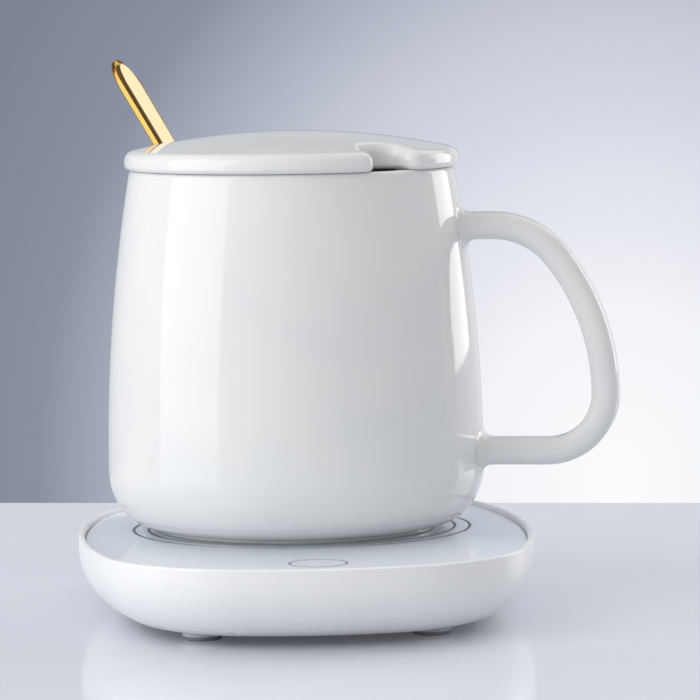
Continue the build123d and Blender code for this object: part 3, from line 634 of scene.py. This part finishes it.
def bowl_ring(shape, half_length, half_width, height):
    """A ring round the bowl."""
    ring = []
    for i in range(BOWL_STEPS):
        turn = 2 * math.pi * i / BOWL_STEPS
        point = spoon_point(half_length * math.cos(turn), half_width * math.sin(turn), height)
        ring.append(shape.verts.new(point))
    return ring


def skinned(shape, rings):
    """Join closed rings of vertices with faces, in order, and close both ends with a fan."""
    for low, high in zip(rings, rings[1:]):
        for i in range(len(low)):
            j = (i + 1) % len(low)
            shape.faces.new((low[i], low[j], high[j], high[i]))
    for end in (rings[0], rings[-1]):
        middle = shape.verts.new(sum((v.co for v in end), Vector()) / len(end))
        for i in range(len(end)):
            shape.faces.new((end[i], end[(i + 1) % len(end)], middle))


shape = bmesh.new()
# Inset from the outline and height of each ring, in millimetres: under edge, leaning side, bevel, face
bar_rings = []
for inset, height in (
    (1.1, -1.1),
    (0.45, -1.06),
    (0.2, -0.96),
    (0.06, -0.8),
    (0.0, -0.6),
    (0.04, -0.15),
    (0.08, 0.28),
    (0.11, 0.52),
    (0.15, 0.62),
    (0.22, 0.68),
    (0.34, 0.71),
    (1.25, 0.935),
    (1.5, 0.975),
    (1.75, 0.995),
    (2.0, 1.0),
    (2.25, 1.0),
):
    bar_rings.append(bar_ring(shape, inset / 1000, height / 1000, BAR_STEPS))
skinned(shape, bar_rings)
outside = []
inside = []
for step in range(1, BOWL_RINGS + 1):
    angle = math.radians(90) * step / (BOWL_RINGS + 0.5)
    flat = math.cos(angle)
    for rings, size in ((outside, BOWL_SIZE), (inside, BOWL_SIZE - Vector((BOWL_METAL,) * 3))):
        rings.append(bowl_ring(shape, size.x * flat, size.y * flat, -size.z * math.sin(angle)))
rim = []
for step in range(1, RIM_STEPS):
    turn_up = math.pi * step / RIM_STEPS
    reach = BOWL_METAL / 2 * (1 - math.cos(turn_up))
    lift = BOWL_METAL / 2 * math.sin(turn_up) * RIM_HEIGHT_SHARE - RIM_DROP
    rim.append(bowl_ring(shape, BOWL_SIZE.x - reach, BOWL_SIZE.y - reach, lift))
skinned(shape, outside[::-1] + rim + inside)
bmesh.ops.recalc_face_normals(shape, faces=shape.faces)
spoon_mesh = bpy.data.meshes.new("teaspoon")
shape.to_mesh(spoon_mesh)
shape.free()
for face in spoon_mesh.polygons:
    face.use_smooth = True
    # Faces of the flat top take the first finish, whose paler gold is a painted highlight
    face.material_index = int((face.center - SPOON_ORIGIN).dot(SPOON_UP) < BAR_TOP - FACE_MARGIN)
spoon = put("teaspoon", spoon_mesh)
# Polishing lines run along the handle, so the pattern is turned to the spoon and drawn out nearly 60
# times. It is far coarser than the real one, so that it shows. The flat face is painted paler than the
# stamped sides, a painted highlight of the bright lamps it mirrors, over the same gold coat
LINE_MM = 0.4
LINE_SHRINK = 0.017
turned = Matrix((SPOON_ALONG, SPOON_ACROSS, SPOON_UP)).to_euler()
for name, dark, light in (
    # The first, paler pair is the flat face's painted highlight; the second is the coat's own gold
    ("steel_gold_coated_face_painted_highlight", "#eed5a6", "#f3dcb3"),
    ("steel_stamped_gold_coated", "#c09750", "#c89f59"),
):
    gold, tree = empty_material(name)
    place = add(tree, "ShaderNodeTexCoord")
    along = add(
        tree,
        "ShaderNodeMapping",
        {"Vector": place.outputs["Object"], "Rotation": turned, "Scale": (LINE_SHRINK, 1.0, 1.0)},
    )
    lines = add(
        tree,
        "ShaderNodeTexNoise",
        {"Vector": along.outputs["Vector"], "Scale": 1000 / LINE_MM, "Detail": 2.0},
    )
    coat = add(
        tree,
        "ShaderNodeValToRGB",
        {"Fac": lines.outputs["Fac"]},
        stops=((GRAIN_LOW, dark), (GRAIN_HIGH, light)),
    )
    polish = add(
        tree,
        "ShaderNodeMapRange",
        {
            "Value": lines.outputs["Fac"],
            "From Min": GRAIN_LOW,
            "From Max": GRAIN_HIGH,
            "To Min": 0.08,
            "To Max": 0.11,
        },
    )
    shader = add(
        tree,
        "ShaderNodeBsdfPrincipled",
        {"Base Color": coat.outputs["Color"], "Metallic": 1.0, "Roughness": polish.outputs["Result"]},
    )
    add(tree, "ShaderNodeOutputMaterial", {"Surface": shader.outputs["BSDF"]})
    spoon_mesh.materials.append(gold)
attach(spoon, "spoon")
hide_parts("spoon")

# Table: a pale glossy lacquered board that mirrors the warmer softly. It ends some 15 cm behind the
# warmer, and its edge is turned so that it comes out level in the camera's view.
lacquer = surface(
    "lacquer_pale_blue_grey", "#dcdfe8", "#e1e4ec", grain_mm=60.0, roughness=0.1, relief_mm=0.001
)
# A faint glow that only the eye and mirrors see makes it paler without lighting the object
LACQUER_GLOW = 0.07
tree = lacquer.node_tree
ray = add(tree, "ShaderNodeLightPath")
looked_at = add(
    tree,
    "ShaderNodeMath",
    {0: ray.outputs["Is Camera Ray"], 1: ray.outputs["Is Glossy Ray"]},
    operation="MAXIMUM",
)
pale = add(tree, "ShaderNodeMath", {0: looked_at.outputs["Value"], 1: LACQUER_GLOW}, operation="MULTIPLY")
paint = tree.nodes["Principled BSDF"]
paint.inputs["Emission Color"].default_value = linear("#e4e6ef")
tree.links.new(pale.outputs["Value"], paint.inputs["Emission Strength"])
TABLE_CORNERS = [(-1.6, -1.9, 0.0), (1.4, -1.9, 0.0), (1.4, -0.039, 0.0), (-1.6, 0.537, 0.0)]
table_mesh = bpy.data.meshes.new("table")
table_mesh.from_pydata(TABLE_CORNERS, [], [(0, 1, 2, 3)])
table_mesh.materials.append(lacquer)
table = put("table", table_mesh)

# Room: a grey-blue wall with a soft white glow to the right, paler round about and dark overhead, which
# only the eye, mirrors and glass see. Matt surfaces get a fill that comes mostly from the upper left.
room = bpy.data.worlds.new("room")
room.use_nodes = True
tree = room.node_tree
tree.nodes.clear()
place = add(tree, "ShaderNodeTexCoord")
way = add(tree, "ShaderNodeSeparateXYZ", {"Vector": place.outputs["Generated"]})
heading = add(tree, "ShaderNodeMath", {0: way.outputs["X"], 1: way.outputs["Y"]}, operation="ARCTAN2")
rise = add(tree, "ShaderNodeMath", {0: way.outputs["Z"]}, operation="ARCSINE")
# The glow's middle is low on the right, and it fades a little faster sideways than upwards
GLOW_HEADING = math.radians(7.0)
GLOW_RISE = math.radians(-6.4)
GLOW_REACH = math.radians(10.5)
GLOW_NARROWING = 1.15
sideways = add(
    tree,
    "ShaderNodeMath",
    {0: heading.outputs["Value"], 1: GLOW_NARROWING, 2: -GLOW_NARROWING * GLOW_HEADING},
    operation="MULTIPLY_ADD",
)
upwards = add(tree, "ShaderNodeMath", {0: rise.outputs["Value"], 1: GLOW_RISE}, operation="SUBTRACT")
apart = add(tree, "ShaderNodeCombineXYZ", {"X": sideways.outputs["Value"], "Y": upwards.outputs["Value"]})
away = add(tree, "ShaderNodeVectorMath", {0: apart.outputs["Vector"]}, operation="LENGTH")
fading = add(tree, "ShaderNodeMath", {0: away.outputs["Value"], 1: GLOW_REACH}, operation="DIVIDE")
wall = add(
    tree,
    "ShaderNodeValToRGB",
    {"Fac": fading.outputs["Value"]},
    stops=(
        (0.0, "#fbfcfd"),
        (0.21, "#f2f3f7"),
        (0.41, "#dadce8"),
        (0.55, "#c8ccd8"),
        (0.66, "#afb7c4"),
        (0.81, "#8a90a2"),
        (1.0, "#7d8494"),
    ),
)
# Past the wall in view the room is paler, and lightest beyond its right end
compass = add(
    tree,
    "ShaderNodeMapRange",
    {"Value": heading.outputs["Value"], "From Min": -math.pi, "From Max": math.pi},
)
ROOM_SHADES = (
    (-180.0, "#b8bec8"),
    (0.0, "#b2b8c3"),
    (9.0, "#bcc2cc"),
    (18.0, "#f0f1f5"),
    (50.0, "#f0f1f5"),
    (80.0, "#b8bec8"),
    (180.0, "#b8bec8"),
)
around = add(
    tree,
    "ShaderNodeValToRGB",
    {"Fac": compass.outputs["Result"]},
    stops=[(0.5 + degrees / 360, code) for degrees, code in ROOM_SHADES],
)
VIEW_HEADING = math.radians(3.6)
aside = add(tree, "ShaderNodeMath", {0: heading.outputs["Value"], 1: VIEW_HEADING}, operation="SUBTRACT")
off_view = add(tree, "ShaderNodeMath", {0: aside.outputs["Value"]}, operation="ABSOLUTE")
past_side = add(
    tree,
    "ShaderNodeMapRange",
    {"Value": off_view.outputs["Value"], "From Min": math.radians(6), "From Max": math.radians(14)},
    interpolation_type="SMOOTHSTEP",
)
past_top = add(
    tree,
    "ShaderNodeMapRange",
    {"Value": rise.outputs["Value"], "From Min": math.radians(0.2), "From Max": math.radians(5)},
    interpolation_type="SMOOTHSTEP",
)
past = add(
    tree,
    "ShaderNodeMath",
    {0: past_side.outputs["Result"], 1: past_top.outputs["Result"]},
    operation="MAXIMUM",
)
walls = add(
    tree,
    "ShaderNodeMix",
    {"Factor": past.outputs["Value"], MIX_A: wall.outputs["Color"], MIX_B: around.outputs["Color"]},
    data_type="RGBA",
)
overhead_part = add(
    tree,
    "ShaderNodeMapRange",
    {"Value": rise.outputs["Value"], "From Min": math.radians(8), "From Max": math.radians(24)},
    interpolation_type="SMOOTHSTEP",
)
seen = add(
    tree,
    "ShaderNodeMix",
    {
        "Factor": overhead_part.outputs["Result"],
        MIX_A: walls.outputs[MIX_RESULT],
        MIX_B: linear("#76777b"),
    },
    data_type="RGBA",
)
# The fill grows from nothing at the lower right rear to full at the upper left front, and the glow on the
# right of the wall adds some of its own
FILL_FROM = (-0.66, -0.66, 0.36)
FILL_SLOPE = 0.67
FILL_LEVEL = 0.43
GLOW_FROM = (0.72, 0.66, 0.18)
slope = add(
    tree,
    "ShaderNodeVectorMath",
    {0: place.outputs["Generated"], 1: FILL_FROM},
    operation="DOT_PRODUCT",
)
fill = add(
    tree,
    "ShaderNodeMath",
    {0: slope.outputs["Value"], 1: FILL_SLOPE, 2: FILL_LEVEL},
    operation="MULTIPLY_ADD",
)
lowest = add(tree, "ShaderNodeMath", {0: fill.outputs["Value"], 1: 0.0}, operation="MAXIMUM")
toward_glow = add(
    tree,
    "ShaderNodeVectorMath",
    {0: place.outputs["Generated"], 1: GLOW_FROM},
    operation="DOT_PRODUCT",
)
glow_fill = add(
    tree,
    "ShaderNodeMapRange",
    {"Value": toward_glow.outputs["Value"], "From Min": 0.5, "From Max": 1.0, "To Max": 1.15},
)
all_fill = add(
    tree, "ShaderNodeMath", {0: lowest.outputs["Value"], 1: glow_fill.outputs["Result"]}, operation="ADD"
)
ray = add(tree, "ShaderNodeLightPath")
eye = add(
    tree,
    "ShaderNodeMath",
    {0: ray.outputs["Is Camera Ray"], 1: ray.outputs["Is Glossy Ray"]},
    operation="MAXIMUM",
)
eye_or_glass = add(
    tree,
    "ShaderNodeMath",
    {0: eye.outputs["Value"], 1: ray.outputs["Is Transmission Ray"]},
    operation="MAXIMUM",
)
lit = add(
    tree,
    "ShaderNodeMix",
    {
        "Factor": eye_or_glass.outputs["Value"],
        MIX_A: all_fill.outputs["Value"],
        MIX_B: seen.outputs[MIX_RESULT],
    },
    data_type="RGBA",
)
glow = add(tree, "ShaderNodeBackground", {"Color": lit.outputs[MIX_RESULT], "Strength": 1.0})
add(tree, "ShaderNodeOutputWorld", {"Surface": glow.outputs["Background"]})
bpy.context.scene.world = room

# Lamps: a large soft box on the left, a strip behind on the right that draws the bright line down the
# mug, and a tall panel above the strip that the spoon's face mirrors.
LOOK_AT = Vector((0.0, 0.014, 0.065))
for name, heading_deg, rise_deg, far, wide, tall, radiance in (
    ("soft_box", -71.0, 22.0, 0.85, 0.72, 0.9, 1.66),
    ("strip", 124.0, 12.0, 0.8, 0.34, 0.4, 2.4),
    ("top_panel", 135.0, 45.0, 0.8, 0.36, 0.6, 1.05),
):
    lamp = bpy.data.lights.new(name, "AREA")
    lamp.shape = "RECTANGLE"
    lamp.size = wide
    lamp.size_y = tall
    lamp.energy = radiance * math.pi * wide * tall
    holder = put(name, lamp)
    turn = math.radians(heading_deg)
    rise_by = math.radians(rise_deg)
    flat = math.cos(rise_by)
    out = Vector((math.sin(turn) * flat, -math.cos(turn) * flat, math.sin(rise_by)))
    holder.location = LOOK_AT + far * out
    holder.rotation_euler = (-out).to_track_quat("-Z", "Y").to_euler()
    holder.visible_camera = False

# Camera: a long lens a little over a metre away, slightly above the lid and tilted down
CAMERA_PLACE = Vector((-0.0594, -1.1336, 0.1594))
CAMERA_HEADING = math.radians(3.607)
CAMERA_PITCH = math.radians(4.746)
CAMERA_ROLL = math.radians(-0.849)
forward = Vector(
    (
        math.sin(CAMERA_HEADING) * math.cos(CAMERA_PITCH),
        math.cos(CAMERA_HEADING) * math.cos(CAMERA_PITCH),
        -math.sin(CAMERA_PITCH),
    )
)
level = Vector((math.cos(CAMERA_HEADING), -math.sin(CAMERA_HEADING), 0.0))
upright = level.cross(forward)
right = math.cos(CAMERA_ROLL) * level + math.sin(CAMERA_ROLL) * upright
up = math.cos(CAMERA_ROLL) * upright - math.sin(CAMERA_ROLL) * level
lens = bpy.data.cameras.new("camera")
lens.sensor_width = 36.0
lens.lens = 232.9
lens.clip_end = 20.0
camera = put("camera", lens)
camera.matrix_world = Matrix.Translation(CAMERA_PLACE) @ Matrix((right, up, -forward)).transposed().to_4x4()
bpy.context.scene.camera = camera
bpy.context.scene.view_settings.view_transform = "Standard"
